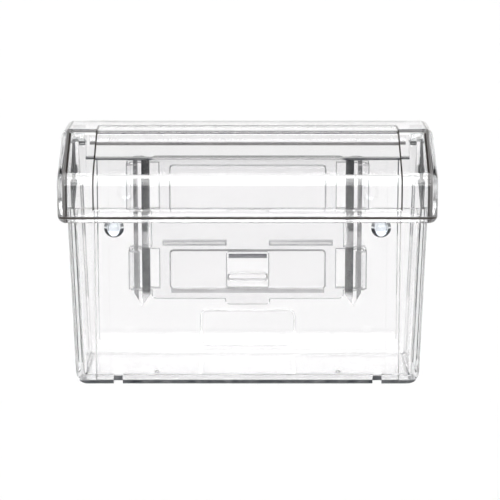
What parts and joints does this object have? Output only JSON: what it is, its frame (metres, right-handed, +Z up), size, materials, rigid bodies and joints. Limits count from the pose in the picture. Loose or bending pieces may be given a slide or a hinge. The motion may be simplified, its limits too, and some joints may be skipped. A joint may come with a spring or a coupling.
{
  "type": "business card box",
  "caption": "Clear moulded outdoor business-card box with a hinged hood lid, bumpers and a slide-on wall plate with a sprung latch finger.",
  "frame": {"origin": "centre of the bottom of the bounding box, on the surface the box stands on", "axes": "+Z up, +X to the object's right seen from the front, +Y towards the wall behind it; the front faces -Y"},
  "size_m": [0.108, 0.0412, 0.0725],
  "materials": {
    "clear_box": "crystal clear polystyrene, polished",
    "clear_lid": "crystal clear polystyrene, polished",
    "clear_plate": "clear polystyrene, slightly greyer in the edges",
    "clear_pin": "clear acrylic rod, ends broken",
    "clear_bumper": "clear domed urethane, glossy"
  },
  "bodies": {
    "box": {"card_box": "clear_box", "hinge_pin_left": "clear_pin", "hinge_pin_right": "clear_pin", "bumper_left": "clear_bumper", "bumper_right": "clear_bumper"},
    "lid": {"lid": "clear_lid"},
    "wall_plate": {"mounting_plate": "clear_plate"},
    "latch": {"latch_finger": "clear_plate"}
  },
  "joints": [
    {"name": "lid_hinge", "type": "hinge", "parent": "box", "child": "lid", "pos_m": [0, 0.0138, 0.067], "axis": [-1, 0, 0], "range_deg": [0, 95]},
    {"name": "plate_slide", "type": "slide", "parent": "box", "child": "wall_plate", "axis": [0, 0, -1], "range_m": [0, 0.044]},
    {"name": "latch_flex", "type": "hinge", "parent": "wall_plate", "child": "latch", "pos_m": [0, 0.0191, 0.0219], "axis": [-1, 0, 0], "range_deg": [0, 5], "stiffness_Nm_per_rad": 0.1}
  ]
}
